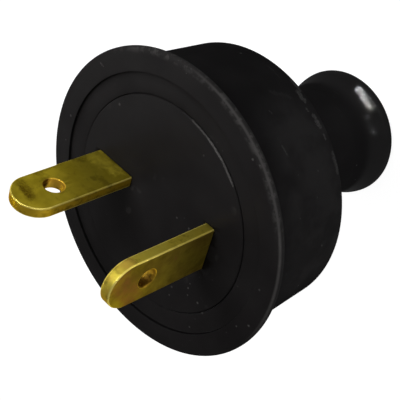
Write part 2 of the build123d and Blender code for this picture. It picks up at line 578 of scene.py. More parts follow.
@dataclass
class SharedEffects:
    """Node groups that several finishes use, built once.

    Attributes:
        edge_wear_and_highlight: Lighter band along a round edge, in broken patches: wear, and on the flange
            also a painted highlight.
        specks: Dust specks, scattered.
        rubs: Long faint rub marks.
        grain: Fine grain of a moulded or rolled surface.
        mark: One mark in a known place, from a point to another.
    """

    edge_wear_and_highlight: bpy.types.NodeTree
    specks: bpy.types.NodeTree
    rubs: bpy.types.NodeTree
    grain: bpy.types.NodeTree
    mark: bpy.types.NodeTree

    @classmethod
    def build(cls) -> SharedEffects:
        """Builds every group.

        Returns:
            The groups.
        """
        return cls(
            cls.make_edge_wear_and_highlight(), cls.make_specks(), cls.make_rubs(), cls.make_grain(), cls.make_mark()
        )

    @staticmethod
    def make_edge_wear_and_highlight() -> bpy.types.NodeTree:
        """Builds a lighter band along a round edge of a given radius and height, for wear and for painted
        highlights.

        Returns:
            The group.
        """
        patch_edge, side_edge = (0.42, 0.62), (0.45, 0.85)
        inputs = {"Place": "Vector", "Toward": "Vector"}
        inputs |= {name: "Float" for name in ("Radius", "Height", "Reach", "Patch", "Evenness")}
        wiring, given, result = new_group("edge_wear_and_highlight", inputs, ["Mask"])
        parts = wiring.node("ShaderNodeSeparateXYZ")
        wiring.feed(parts.inputs[0], given["Place"])
        across = wiring.math("SQRT", wiring.math(
            "ADD",
            wiring.math("POWER", parts.outputs["X"], 2.0),
            wiring.math("POWER", parts.outputs["Y"], 2.0),
        ))
        outward = wiring.math("SUBTRACT", across, given["Radius"])
        upward = wiring.math("SUBTRACT", parts.outputs["Z"], given["Height"])
        distance = wiring.math("SQRT", wiring.math(
            "ADD", wiring.math("POWER", outward, 2.0), wiring.math("POWER", upward, 2.0)
        ))
        near = wiring.fade(distance, given["Reach"], 0.0)
        lumps = wiring.math("DIVIDE", 1.0, given["Patch"])
        patches = wiring.noise(given["Place"], lumps, detail=4.0, rough=0.65)
        broken = wiring.math("MAXIMUM", wiring.fade(patches, *patch_edge), given["Evenness"])
        facing = wiring.vector("DOT_PRODUCT", given["Place"], given["Toward"])
        side = wiring.fade(wiring.math("DIVIDE", facing, across), *side_edge)
        wiring.feed(result["Mask"], wiring.math("MULTIPLY", side, wiring.math("MULTIPLY", near, broken)))
        return wiring.tree

    @staticmethod
    def make_specks() -> bpy.types.NodeTree:
        """Builds scattered dust specks.

        Returns:
            The group.
        """
        smallest, core = 0.4, 0.3
        inputs = {"Place": "Vector", "Spacing": "Float", "Size": "Float", "Share": "Float"}
        wiring, given, result = new_group("specks", inputs, ["Mask"])
        cells = wiring.node("ShaderNodeTexVoronoi", feature="F1")
        wiring.feed(cells.inputs["Vector"], given["Place"])
        wiring.feed(cells.inputs["Scale"], wiring.math("DIVIDE", 1.0, given["Spacing"]))
        chance = wiring.node("ShaderNodeSeparateColor")
        wiring.feed(chance.inputs[0], cells.outputs["Color"])
        kept = wiring.math("LESS_THAN", chance.outputs[0], given["Share"])
        width = wiring.math("MULTIPLY", given["Size"], wiring.math("ADD", chance.outputs[1], smallest))
        dots = wiring.fade(cells.outputs["Distance"], width, wiring.math("MULTIPLY", width, core))
        wiring.feed(result["Mask"], wiring.math("MULTIPLY", kept, dots))
        return wiring.tree

    @staticmethod
    def make_rubs() -> bpy.types.NodeTree:
        """Builds long faint rub marks, drawn out along the given stretch.

        Returns:
            The group.
        """
        unmarked, edge, field_scale, field_edge = 0.78, 0.06, 0.16, (0.48, 0.62)
        inputs = {"Place": "Vector", "Stretch": "Vector", "Turn": "Vector", "Amount": "Float"}
        wiring, given, result = new_group("rubs", inputs, ["Mask"])
        drawn = wiring.node("ShaderNodeMapping")
        wiring.feed(drawn.inputs["Vector"], given["Place"])
        wiring.feed(drawn.inputs["Rotation"], given["Turn"])
        wiring.feed(drawn.inputs["Scale"], given["Stretch"])
        lines = wiring.noise(drawn.outputs[0], 1.0, detail=2.0, rough=0.5)
        level = wiring.math("SUBTRACT", unmarked, given["Amount"])
        marks = wiring.fade(lines, level, wiring.math("ADD", level, edge))
        fields = wiring.fade(wiring.noise(given["Place"], field_scale, detail=2.0), *field_edge)
        wiring.feed(result["Mask"], wiring.math("MULTIPLY", marks, fields))
        return wiring.tree

    @staticmethod
    def make_grain() -> bpy.types.NodeTree:
        """Builds a fine grain with a slow swell under it.

        Returns:
            The group.
        """
        swell_share, tone_edge = 0.6, (0.3, 0.7)
        inputs = {"Place": "Vector", "Grain": "Float", "Swell": "Float"}
        wiring, given, result = new_group("grain", inputs, ["Height", "Tone"])
        fine_scale = wiring.math("DIVIDE", 1.0, given["Grain"])
        slow_scale = wiring.math("DIVIDE", 1.0, given["Swell"])
        fine = wiring.noise(given["Place"], fine_scale, detail=4.0, rough=0.6)
        slow = wiring.noise(given["Place"], slow_scale, detail=3.0, rough=0.5)
        wiring.feed(result["Height"], wiring.math("ADD", fine, wiring.math("MULTIPLY", slow, swell_share)))
        wiring.feed(result["Tone"], wiring.fade(slow, *tone_edge))
        return wiring.tree

    @staticmethod
    def make_mark() -> bpy.types.NodeTree:
        """Builds a mark along the line between two points, with a ragged edge.

        Returns:
            The group.
        """
        core, edge_lumps, inner_lumps = 0.35, 1.2, 2.6
        thin_edge, thinnest = (0.35, 0.65), 0.45
        inputs = {name: "Vector" for name in ("Place", "Start", "End")}
        inputs |= {name: "Float" for name in ("Width", "Ragged")}
        wiring, given, result = new_group("mark", inputs, ["Mask"])
        reach = wiring.vector("SUBTRACT", given["Place"], given["Start"])
        line = wiring.vector("SUBTRACT", given["End"], given["Start"])
        run = wiring.vector("DOT_PRODUCT", reach, line)
        along = wiring.math("DIVIDE", run, wiring.vector("DOT_PRODUCT", line, line), clamp=True)
        nearest = wiring.vector("MULTIPLY", line, along)
        distance = wiring.vector("DISTANCE", reach, nearest)
        edge_scale = wiring.math("DIVIDE", edge_lumps, given["Width"])
        lumps = wiring.noise(given["Place"], edge_scale, detail=3.0, rough=0.6)
        swing = wiring.math("MULTIPLY", given["Ragged"], given["Width"])
        uneven = wiring.math("MULTIPLY", wiring.math("SUBTRACT", lumps, 0.5), swing)
        inner = wiring.math("MULTIPLY", given["Width"], core)
        shape = wiring.fade(wiring.math("ADD", distance, uneven), given["Width"], inner)
        inner_scale = wiring.math("DIVIDE", inner_lumps, given["Width"])
        thin = wiring.noise(given["Place"], inner_scale, detail=3.0, rough=0.6)
        depth = wiring.blend(wiring.fade(thin, *thin_edge), thinnest, 1.0)
        wiring.feed(result["Mask"], wiring.math("MULTIPLY", shape, depth))
        return wiring.tree


def new_material(name: str) -> tuple[bpy.types.Material, Wiring, bpy.types.Node]:
    """Starts a material with a Principled shader.

    Args:
        name: Name of the material.

    Returns:
        The material, its wiring and its shader.
    """
    material = bpy.data.materials.new(name)
    material.use_nodes = True
    wiring = Wiring(material.node_tree)
    return material, wiring, material.node_tree.nodes["Principled BSDF"]


# Finishes


@dataclass(frozen=True)
class Mark:
    """Mark in a known place: a scuff, a stain, a bright spot, a painted highlight or a patch of painted
    light. Sizes are in millimetres.

    Attributes:
        start: One end.
        end: The other end, which may be the same point.
        width: Half the mark's width.
        strength: How fully it covers the surface.
        ragged: How uneven its edge is.
    """

    start: Point
    end: Point
    width: float
    strength: float
    ragged: float = 1.2

    @classmethod
    def along(
        cls, radius: float, start: float, end: float, height: float, width: float, strength: float
    ) -> Mark:
        """Lays a scuff along a round surface.

        Args:
            radius: Distance of the surface from the axis.
            start: Direction of one end about the axis, in degrees.
            end: Direction of the other end, in degrees.
            height: Height of the scuff.
            width: Half its width.
            strength: How fully it covers the surface.

        Returns:
            The mark.
        """
        ends = [on_round(radius, degrees, height) for degrees in (start, end)]
        return cls(*ends, width, strength, ragged=2.0)

    def mask(self, wiring: Wiring, place: Socket, effects: SharedEffects) -> Socket:
        """Adds the mark's mask to a material.

        Args:
            wiring: The material's wiring.
            place: Coordinates in millimetres.
            effects: The shared node groups.

        Returns:
            The mask.
        """
        made = wiring.group(
            effects.mark, Place=place, Start=self.start, End=self.end, Width=self.width, Ragged=self.ragged
        )
        return wiring.math("MULTIPLY", made.outputs["Mask"], self.strength)


@dataclass(frozen=True)
class WearAndHighlightRing:
    """Round edge painted lighter: rubbed grey by handling, and on the face's flange partly a painted
    highlight. Sizes are in millimetres.

    Attributes:
        radius: Radius of the edge.
        height: Height of the edge.
        reach: How far the band spreads.
        strength: How grey it gets.
        toward: Side of the plug that is lightened, as a direction across the axis.
        patch: Size of the broken patches.
        evenness: How far the band is a whole line, from 0 for patches to 1.
    """

    radius: float
    height: float
    reach: float
    strength: float
    toward: Point
    patch: float = 1.6
    evenness: float = 0.0

    def mask(self, wiring: Wiring, place: Socket, effects: SharedEffects) -> Socket:
        """Adds the ring's mask to a material.

        Args:
            wiring: The material's wiring.
            place: Coordinates in millimetres.
            effects: The shared node groups.

        Returns:
            The mask.
        """
        made = wiring.group(
            effects.edge_wear_and_highlight,
            Place=place,
            Toward=self.toward,
            Radius=self.radius,
            Height=self.height,
            Reach=self.reach,
            Patch=self.patch,
            Evenness=self.evenness,
        )
        return wiring.math("MULTIPLY", made.outputs["Mask"], self.strength)


@dataclass(frozen=True)
class RubMarks:
    """Long faint rub marks in broken fields.

    Attributes:
        stretch: How closely they lie along each axis, in marks to the millimetre.
        turn: Turn of the marks about each axis, in radians.
        amount: How many there are.
        strength: How fully they cover the surface.
    """

    stretch: Point
    turn: Point
    amount: float
    strength: float

    def mask(self, wiring: Wiring, place: Socket, effects: SharedEffects) -> Socket:
        """Adds the marks' mask to a material.

        Args:
            wiring: The material's wiring.
            place: Coordinates in millimetres.
            effects: The shared node groups.

        Returns:
            The mask.
        """
        made = wiring.group(
            effects.rubs, Place=place, Stretch=self.stretch, Turn=self.turn, Amount=self.amount
        )
        return wiring.math("MULTIPLY", made.outputs["Mask"], self.strength)


@dataclass(frozen=True)
class Relief:
    """Fine grain of a surface. Sizes are in millimetres.

    Attributes:
        grain: Size of the finest lumps.
        swell: Size of the slow swell under them.
        depth: Height of the lumps.
        strength: How strongly they show.
    """

    grain: float
    swell: float
    depth: float
    strength: float = 0.15

    def raise_on(
        self, shader: bpy.types.Node, wiring: Wiring, place: Socket, effects: SharedEffects
    ) -> Socket:
        """Adds the grain to a material's shader.

        Args:
            shader: The shader.
            wiring: The material's wiring.
            place: Coordinates in millimetres.
            effects: The shared node groups.

        Returns:
            The swell's tone, from 0 to 1.
        """
        made = wiring.group(effects.grain, Place=place, Grain=self.grain, Swell=self.swell)
        bump = wiring.node("ShaderNodeBump")
        bump.inputs["Strength"].default_value = self.strength
        bump.inputs["Distance"].default_value = self.depth * MM
        wiring.feed(bump.inputs["Height"], made.outputs["Height"])
        wiring.feed(shader.inputs["Normal"], bump.outputs[0])
        return made.outputs["Tone"]


@dataclass(frozen=True)
class GlossBand:
    """Stretch of the plug's length that shines more than the rest.

    Attributes:
        start: Height in millimetres at which the gloss begins.
        end: Height in millimetres from which it is full.
        coat: Weight of the full gloss.
    """

    start: float
    end: float
    coat: float


@dataclass(frozen=True)
class RubberFinish:
    """Moulded black rubber: matt under a faint waxy bloom, with a little dust, rubbed grey along its edges,
    and with painted highlights, light and shade where they are given.

    Attributes:
        name: Name of the material.
        black: Colour of the rubber without dust or wear.
        dusty: Colour of the dust, of rubbed places and of painted light and highlights.
        roughness: Roughness of the rubber without dust or wear.
        coat: Weight of the bloom's gloss everywhere.
        coat_roughness: Roughness of the bloom.
        coat_index: Refractive index of the bloom.
        bands: Stretches that shine more.
        rings: Lighter round edges: wear, and painted highlights.
        marks: Scuffs, nicks, painted highlights and patches of painted light.
        dust: Where dust lies thick.
        relief: Grain of the moulding.
        rubs: Faint rub marks.
        uneven: How far the colour and the roughness follow the swell.
        dulling: How far dust roughens the rubber and takes its gloss.
        speck_share: Share of the places for a dust speck that hold one.
        speck_spacing: Distance between those places, in millimetres.
        speck_size: Size of a speck, as a share of that distance.
        speck_strength: How fully a speck covers the surface.
    """

    name: str
    black: Colour = (0.0065, 0.0062, 0.0064)
    dusty: Colour = (0.075, 0.073, 0.072)
    roughness: float = 0.6
    coat: float = 0.007
    coat_roughness: float = 0.3
    coat_index: float = 1.9
    bands: tuple[GlossBand, ...] = ()
    rings: tuple[WearAndHighlightRing, ...] = ()
    marks: tuple[Mark, ...] = ()
    dust: tuple[Mark, ...] = ()
    relief: Relief = Relief(grain=0.35, swell=6.0, depth=0.05)
    rubs: RubMarks = RubMarks(stretch=(0.35, 0.35, 2.6), turn=(0.5, 0.3, 0.0), amount=0.12, strength=0.12)
    uneven: tuple[float, float] = (0.03, 0.05)
    dulling: tuple[float, float] = (0.2, 0.7)
    speck_share: float = 0.08
    speck_spacing: float = 1.1
    speck_size: float = 0.17
    speck_strength: float = 0.55

    @classmethod
    def front(
        cls, name: str, rings: tuple[WearAndHighlightRing, ...] = (), marks: tuple[Mark, ...] = ()
    ) -> RubberFinish:
        """Gives the greyer, dustier finish of the plug's face, with a faint patch of painted light.

        Args:
            name: Name of the material.
            rings: Lighter round edges: wear, and painted highlights.
            marks: Scuffs, nicks and painted highlights.

        Returns:
            The finish.
        """
        dust = (Mark((8.0, -9.0, 37.3), (17.0, -2.0, 37.3), 6.0, 0.6, 0.4),)
        # A faint lighter patch over the face towards -X and +Y: painted light from the lamp on that side.
        haze_and_painted_light = Mark((-14.0, 4.0, 37.4), (-4.0, 13.0, 37.4), 19.0, 0.03, 0.3)
        return cls(
            name,
            black=(0.0097, 0.0089, 0.0091),
            dusty=(0.105, 0.101, 0.098),
            coat=0.03,
            rings=rings,
            marks=(haze_and_painted_light, *marks),
            dust=dust,
        )

    @classmethod
    def painted_shade(cls, name: str) -> RubberFinish:
        """Gives the blacker finish of the step's walls inside the rim: painted shade for the recess."""
        return cls(name, black=(0.0030, 0.0028, 0.0029), coat=0.006)

    def make(self, effects: SharedEffects) -> bpy.types.Material:
        """Builds the material.

        Args:
            effects: The shared node groups.

        Returns:
            The material.
        """
        colour_swing, matt_swing = self.uneven
        roughening, lost_gloss = self.dulling
        material, wiring, shader = new_material(self.name)
        place = wiring.millimetres()
        tone = self.relief.raise_on(shader, wiring, place, effects)
        covered = self.cover_marks(wiring, place, effects)
        pale = wiring.math("ADD", covered, wiring.math("MULTIPLY", tone, colour_swing), clamp=True)
        wiring.feed(shader.inputs["Base Color"], wiring.tint(pale, self.black, self.dusty))
        matt = wiring.blend(tone, self.roughness - matt_swing, self.roughness + matt_swing)
        rougher = wiring.math("MULTIPLY", covered, roughening)
        wiring.feed(shader.inputs["Roughness"], wiring.math("ADD", matt, rougher))
        parts = wiring.node("ShaderNodeSeparateXYZ")
        wiring.feed(parts.inputs[0], place)
        gloss: Source = self.coat
        for band in self.bands:
            share = wiring.fade(parts.outputs["Z"], band.start, band.end)
            gloss = wiring.blend(share, gloss, band.coat)
        clear = wiring.math("SUBTRACT", 1.0, wiring.math("MULTIPLY", covered, lost_gloss))
        wiring.feed(shader.inputs["Coat Weight"], wiring.math("MULTIPLY", gloss, clear))
        shader.inputs["Coat Roughness"].default_value = self.coat_roughness
        shader.inputs["Coat IOR"].default_value = self.coat_index
        shader.inputs["Specular IOR Level"].default_value = 0.0
        return material

    def cover_marks(self, wiring: Wiring, place: Socket, effects: SharedEffects) -> Socket:
        """Gathers dust, rub marks, worn and painted-highlight edges, scuffs and patches of painted light
        into one mask.

        Args:
            wiring: The material's wiring.
            place: Coordinates in millimetres.
            effects: The shared node groups.

        Returns:
            The mask.
        """
        share: Source = self.speck_share
        for field in self.dust:
            share = wiring.math("ADD", share, field.mask(wiring, place, effects))
        specks = wiring.group(
            effects.specks, Place=place, Spacing=self.speck_spacing, Size=self.speck_size, Share=share
        )
        covered = wiring.math(
            "MAXIMUM",
            self.rubs.mask(wiring, place, effects),
            wiring.math("MULTIPLY", specks.outputs["Mask"], self.speck_strength),
        )
        for wear in self.rings + self.marks:
            covered = wiring.math("MAXIMUM", covered, wear.mask(wiring, place, effects))
        return covered


@dataclass(frozen=True)
class BrassFinish:
    """Blanked brass strip: olive tarnish over the metal, mottled by a darker film, with stains.

    Attributes:
        name: Name of the material.
        bright: Colour of the bare brass, and of the spots painted bright.
        olive: Colour of the tarnished brass.
        brown: Colour of the stains.
        film: Colour of the darker film.
        glance: Colour of the metal at a glancing angle.
        roughness: Roughness of the tarnished brass.
        metal: Share of bare metal in the tarnish; the rest is a dull film.
        bareness: Share of the bright colour where the tarnish is thinnest.
        mottle: Share of the film where it is thickest.
        rubbed_and_lit_spots: Places painted bright brass: where the tarnish is rubbed thin, and at the
            radial pin's foot also painted light.
        stains: Brown stains.
        relief: Grain of the rolled strip.
        rubs: Rub marks along the strip, which bare the metal.
        uneven: How far the roughness follows the swell.
        blotch_scale: Blotches of film in a millimetre.
        blotch_edge: Range of the noise over which a blotch thickens.
    """

    name: str
    bright: Colour = (0.46, 0.37, 0.035)
    olive: Colour = (0.19, 0.146, 0.010)
    brown: Colour = (0.12, 0.047, 0.004)
    film: Colour = (0.085, 0.060, 0.006)
    glance: Colour = (0.90, 0.70, 0.15)
    roughness: float = 0.42
    metal: float = 0.55
    bareness: float = 0.3
    mottle: float = 0.5
    rubbed_and_lit_spots: tuple[Mark, ...] = ()
    stains: tuple[Mark, ...] = ()
    relief: Relief = Relief(grain=0.22, swell=2.4, depth=0.04)
    rubs: RubMarks = RubMarks(stretch=(3.0, 3.0, 0.3), turn=(0.06, 0.04, 0.0), amount=0.2, strength=0.3)
    uneven: float = 0.06
    blotch_scale: float = 0.7
    blotch_edge: tuple[float, float] = (0.5, 0.66)

    def make(self, effects: SharedEffects) -> bpy.types.Material:
        """Builds the material.

        Args:
            effects: The shared node groups.

        Returns:
            The material.
        """
        material, wiring, shader = new_material(self.name)
        place = wiring.millimetres()
        tone = self.relief.raise_on(shader, wiring, place, effects)
        bare = wiring.math(
            "MAXIMUM",
            wiring.math("MULTIPLY", tone, self.bareness),
            self.rubs.mask(wiring, place, effects),
        )
        film = wiring.noise(place, self.blotch_scale, detail=4.0, rough=0.62)
        blotches = wiring.fade(film, *self.blotch_edge)
        colour = wiring.tint(bare, self.olive, self.bright)
        colour = wiring.tint(wiring.math("MULTIPLY", blotches, self.mottle), colour, self.film)
        for spot in self.rubbed_and_lit_spots:
            colour = wiring.tint(spot.mask(wiring, place, effects), colour, self.bright)
        for stain in self.stains:
            colour = wiring.tint(stain.mask(wiring, place, effects), colour, self.brown)
        wiring.feed(shader.inputs["Base Color"], colour)
        matt = wiring.blend(tone, self.roughness + self.uneven, self.roughness - self.uneven)
        wiring.feed(shader.inputs["Roughness"], matt)
        wiring.feed(shader.inputs["Metallic"], wiring.blend(bare, self.metal, 1.0))
        shader.inputs["Specular IOR Level"].default_value = 0.0
        shader.inputs["Specular Tint"].default_value = (*self.glance, 1.0)
        return material


def radial_brass() -> tuple[BrassFinish, BrassFinish]:
    """Gives the finishes of the radial pin's flat and narrow sides.

    Returns:
        The two finishes.
    """
    flat = BrassFinish(
        "radial_brass",
        brown=(0.045, 0.026, 0.003),
        # Bright spots near the radial pin's foot: painted light that lifts the flat side where it would
        # mirror the dark face, with some tarnish rubbed thin.
        rubbed_and_lit_spots=(
            Mark((-10.9, 0.75, 38.9), (-7.4, 0.75, 38.2), 1.5, 0.75, 2.0),
            Mark((-11.2, 0.75, 37.4), (-11.0, 0.75, 37.4), 0.5, 0.9),
        ),
        stains=(
            Mark((-10.5, 0.75, 50.4), (-7.8, 0.75, 51.0), 0.95, 0.65, 1.0),
            Mark((-9.8, 0.75, 50.8), (-8.0, 0.75, 51.0), 0.50, 0.85, 1.4),
            Mark((-11.3, 0.75, 47.9), (-11.4, 0.75, 44.0), 0.5, 0.45, 2.5),
            Mark((-9.9, 0.75, 47.3), (-9.7, 0.75, 48.2), 0.3, 0.35, 2.0),
        ),
    )
    narrow = BrassFinish(
        "radial_side_brass",
        bright=(0.78, 0.54, 0.05),
        olive=(0.40, 0.255, 0.016),
        brown=(0.10, 0.055, 0.006),
        glance=(0.70, 0.40, 0.03),
        roughness=0.40,
        metal=0.7,
        stains=(Mark((-5.15, -0.5, 48.6), (-5.15, -0.6, 38.0), 0.6, 0.7, 2.5),),
    )
    return flat, narrow


def crosswise_brass() -> tuple[BrassFinish, BrassFinish]:
    """Gives the finishes of the crosswise pin's flat and narrow sides.

    Returns:
        The two finishes.
    """
    flat = BrassFinish(
        "crosswise_brass",
        # The flat side's olive is darker than the radial pin's: painted shade for the side that faces away
        # from the lamps, over the same tarnish.
        olive=(0.125, 0.083, 0.013),
        brown=(0.18, 0.080, 0.025),
        stains=(
            Mark((9.1, 1.4, 51.5), (9.1, -1.7, 49.2), 2.1, 0.85),
            Mark((9.1, 1.2, 43.0), (9.1, 1.3, 43.1), 0.3, 0.9),
        ),
    )
    narrow = BrassFinish(
        "crosswise_side_brass",
        bright=(0.57, 0.47, 0.080),
        olive=(0.35, 0.280, 0.030),
        brown=(0.46, 0.27, 0.05),
        glance=(0.80, 0.58, 0.10),
        roughness=0.46,
        metal=0.7,
        stains=(Mark((8.3, 3.0, 50.2), (8.3, -1.0, 52.6), 1.2, 0.6, 2.0),),
    )
    return flat, narrow


def edge_brass() -> tuple[BrassFinish, BrassFinish]:
    """Gives the finishes of both pins' rubbed edges and of their holes.

    Returns:
        The two finishes.
    """
    edges = BrassFinish(
        "polished_brass",
        bright=(0.95, 0.82, 0.26),
        olive=(0.62, 0.49, 0.085),
        brown=(0.55, 0.27, 0.02),
        roughness=0.32,
        metal=0.45,
        mottle=0.3,
        stains=(Mark((-8.3, 0.75, 47.1), (-8.3, 0.75, 47.0), 2.2, 0.6),),
    )
    holes = BrassFinish(
        "hole_brass",
        bright=(0.80, 0.52, 0.06),
        olive=(0.50, 0.30, 0.03),
        brown=(0.045, 0.022, 0.003),
        metal=0.7,
        # These patches darken part of each hole's wall: on the radial pin towards -X and the tip, on the
        # crosswise pin towards -Y.
        stains=(
            Mark((-9.6, 0.3, 47.6), (-9.0, 0.3, 48.2), 0.9, 0.8),
            Mark((-9.5, 0.1, 47.4), (-9.1, 0.1, 48.0), 0.7, 0.9, 1.6),
            Mark((8.1, -1.25, 47.5), (8.4, -1.0, 46.3), 1.25, 1.0, 0.6),
            Mark((8.1, -1.25, 47.5), (8.4, -1.1, 46.5), 0.95, 1.0, 0.4),
        ),
    )
    return edges, holes


# The plug's sub-assemblies


@dataclass
class RubberCover:
    """Moulded cover: pull grip, neck, drum and flange in one piece, hollow for the block and the cord.

    Sizes are in millimetres, and round sizes are radii.

    Attributes:
        flange_radius: Outside of the flange, from the frame.
        rim_height: Height of the rim, from the frame.
        cord_hole: Hole that the cord enters by.
        grip: Widest part of the grip.
        grip_land: Height at which the grip begins to narrow.
        neck: Outside of the neck.
        flare_end: Height at which the grip meets the neck.
        drum_rear: Drum at its rear end.
        drum_rear_height: Height of the drum's rear end.
        drum_front: Drum where it meets the flange.
        flange_thickness: Thickness of the flange.
        rim_width: Width of the flat rim round the face.
        rim_step: Depth of the step inside the rim.
        rim_fall: Fall of the rim towards its outer edge.
        mouth: Hole that shows the block.
        lip_height: Rear of the lip round that hole.
        groove: Groove that holds the block's flange.
        shoulder_height: Shoulder that the block rests on.
        cavity: Space for the wires.
        floor_height: Floor of that space.
        funnel: Wide end of the funnel to the cord hole.
        funnel_depth: Depth of the funnel.
        hole_round: Rounding of the cord hole's edge.
        end_round: Rounding of the grip's end.
        grip_round: Rounding from the grip to its flare.
        flare_round: Rounding from the flare to the neck.
        neck_round: Hollow rounding from the neck to the drum.
        drum_round: Rounding of the drum's rear edge.
        root_round: Hollow rounding under the flange.
        flange_round: Rounding of the flange's edges.
        rim_round: Rounding of the edges on the face.
        floor_round: Hollow rounding at the floor of the wires' space.
        handled_height: Height up to which hands polish the grip.
        scuff_radius: Distance of the drum's scuffs from the axis.
        seam: Height above the flange's rear that still counts as the drum.
        wall_reach: Distance past the rim's inner edge that still counts as the step.
        wall_tilt: Upward share of a normal, past which a face isn't a wall.
        turn_steps: Number of steps in the full turn.
        sharpest: Sharpest edge that is shaded smooth, in degrees.
    """

    flange_radius: float
    rim_height: float
    cord_hole: float = 4.0
    grip: float = 9.1
    grip_land: float = 1.5
    neck: float = 7.9
    flare_end: float = 4.7
    drum_rear: float = 17.51
    drum_rear_height: float = 23.0
    drum_front: float = 18.26
    flange_thickness: float = 1.0
    rim_width: float = 3.05
    rim_step: float = 0.42
    rim_fall: float = 0.15
    mouth: float = 14.12
    lip_height: float = 35.0
    groove: float = 15.66
    shoulder_height: float = 32.0
    cavity: float = 13.56
    floor_height: float = 25.6
    funnel: float = 7.0
    funnel_depth: float = 6.0
    hole_round: float = 0.6
    end_round: float = 0.9
    grip_round: float = 3.2
    flare_round: float = 15.0
    neck_round: float = 1.5
    drum_round: float = 0.45
    root_round: float = 0.4
    flange_round: float = 0.3
    rim_round: float = 0.1
    floor_round: float = 1.0
    handled_height: float = 8.0
    scuff_radius: float = 17.6
    seam: float = 0.02
    wall_reach: float = 0.05
    wall_tilt: float = 0.6
    turn_steps: int = 300
    sharpest: float = 35.0

    node = "rubber_cover"

    @classmethod
    def from_frame(cls) -> RubberCover:
        """Takes the flange's radius and the rim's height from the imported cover.

        Returns:
            The cover.
        """
        _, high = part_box(cls.node)
        return cls(flange_radius=high.x / MM, rim_height=high.z / MM)

    def section(self) -> TurnedSection:
        """Lays out the section: outside from the grip to the rim, then inside back to the cord hole.

        Returns:
            The section.
        """
        flange_rear = self.rim_height - self.flange_thickness
        ring_height = self.rim_height - self.rim_step
        rim = self.flange_radius - self.rim_width
        return TurnedSection([
            Corner(self.cord_hole, 0, self.hole_round, 6),
            Corner(self.grip, 0, self.end_round, 8),
            Corner(self.grip, self.grip_land, self.grip_round, 10),
            Corner(self.neck, self.flare_end, self.flare_round, 16),
            Corner(self.neck, self.drum_rear_height, self.neck_round, 8),
            Corner(self.drum_rear, self.drum_rear_height, self.drum_round, 6),
            Corner(self.drum_front, flange_rear, self.root_round, 5),
            Corner(self.flange_radius, flange_rear, self.flange_round, 4),
            Corner(self.flange_radius, self.rim_height - self.rim_fall, self.flange_round, 5),
            Corner(rim, self.rim_height, self.rim_round, 4),
            Corner(rim, ring_height, self.rim_round, 3),
            Corner(self.mouth, ring_height, self.rim_round, 3),
            Corner(self.mouth, self.lip_height),
            Corner(self.groove, self.lip_height),
            Corner(self.groove, self.shoulder_height),
            Corner(self.cavity, self.shoulder_height),
            Corner(self.cavity, self.floor_height, self.floor_round, 6),
            Corner(self.funnel, self.floor_height),
            Corner(self.cord_hole, self.floor_height - self.funnel_depth),
        ], steps=self.turn_steps)

    def face_kind(self, centre: Vector, normal: Vector) -> CoverFace:
        """Tells which of the cover's surfaces a face belongs to.

        Args:
            centre: Middle of the face.
            normal: Its direction.

        Returns:
            The kind of surface.
        """
        height = centre.z / MM
        if height < self.handled_height:
            return CoverFace.HANDLE
        if height < self.rim_height - self.flange_thickness + self.seam:
            return CoverFace.DRUM
        inside = centre.to_2d().length / MM < self.flange_radius - self.rim_width + self.wall_reach
        return CoverFace.STEP if inside and abs(normal.z) < self.wall_tilt else CoverFace.FRONT

    def drum_finish(self) -> RubberFinish:
        """Gives the drum's finish: lighter on one side from a dust haze and painted light, with chips along
        the rear edge and small scuffs.

        Returns:
            The finish.
        """
        outside = self.scuff_radius
        # A lighter patch on the drum between 8 and 52 degrees about the axis: partly a dust haze, partly
        # painted light on the side that the front lamps reach.
        haze_and_painted_light = Mark(on_round(outside, 52, 28.0), on_round(outside, 8, 28.0), 8.5, 0.12, 0.5)
        chips = (
            Mark.along(outside, 78.0, 72.5, 23.6, 0.30, 0.40),
            Mark.along(outside, 72.0, 68.0, 24.1, 0.50, 0.45),
            Mark.along(outside, 64.5, 63.5, 24.6, 0.28, 0.40),
            Mark.along(outside, 60.5, 56.0, 24.1, 0.55, 0.50),
            Mark.along(outside, 52.5, 51.0, 24.0, 0.25, 0.55),
            Mark.along(outside, 45.0, 37.0, 23.6, 0.40, 0.40),
        )
        scuffs = (
            Mark(on_round(18.0, 57.2, 31.7), on_round(18.0, 50.7, 31.4), 0.40, 0.16, 1.5),
            Mark(on_round(18.0, 54.5, 31.7), on_round(18.0, 51.0, 31.5), 0.20, 0.40, 1.5),
            Mark(on_round(17.9, 68.2, 30.6), on_round(17.9, 67.4, 30.5), 0.22, 0.30, 2.5),
            Mark(on_round(17.8, 75.5, 28.1), on_round(17.7, 71.0, 25.8), 0.45, 0.12, 2.5),
            Mark(on_round(17.7, 61.5, 27.6), on_round(17.7, 60.4, 27.0), 0.14, 0.18),
            Mark(on_round(17.7, 41.0, 27.2), on_round(17.7, 40.6, 27.1), 0.15, 0.45),
            Mark(on_round(17.8, 31.6, 28.2), on_round(17.8, 31.3, 28.2), 0.13, 0.40),
            Mark(on_round(17.7, 9.9, 26.9), on_round(17.7, 9.3, 26.8), 0.15, 0.60),
            Mark(on_round(18.0, 27.1, 31.8), on_round(18.0, 26.8, 31.8), 0.13, 0.40),
        )
        rear = WearAndHighlightRing(
            self.drum_rear, self.drum_rear_height, reach=0.7, strength=0.2, toward=(0.62, 0.78, 0.0)
        )
        return RubberFinish("scuffed_rubber", rings=(rear,), marks=(haze_and_painted_light, *chips, *scuffs))

    def handled_finish(self) -> RubberFinish:
        """Gives the grip's finish, which hands have polished along the flare.

        Returns:
            The finish.
        """
        flare = GlossBand(start=5.6, end=3.9, coat=0.036)
        rear_edge = GlossBand(start=1.2, end=0.8, coat=0.006)
        return RubberFinish("handled_rubber", coat_roughness=0.09, bands=(flare, rear_edge))

    def face_finish(self) -> RubberFinish:
        """Gives the face's finish, with the flange's edge lightened on two sides, partly by wear and partly
        as a painted highlight, and a nick.

        Returns:
            The finish.
        """
        edge = (self.flange_radius, self.rim_height)
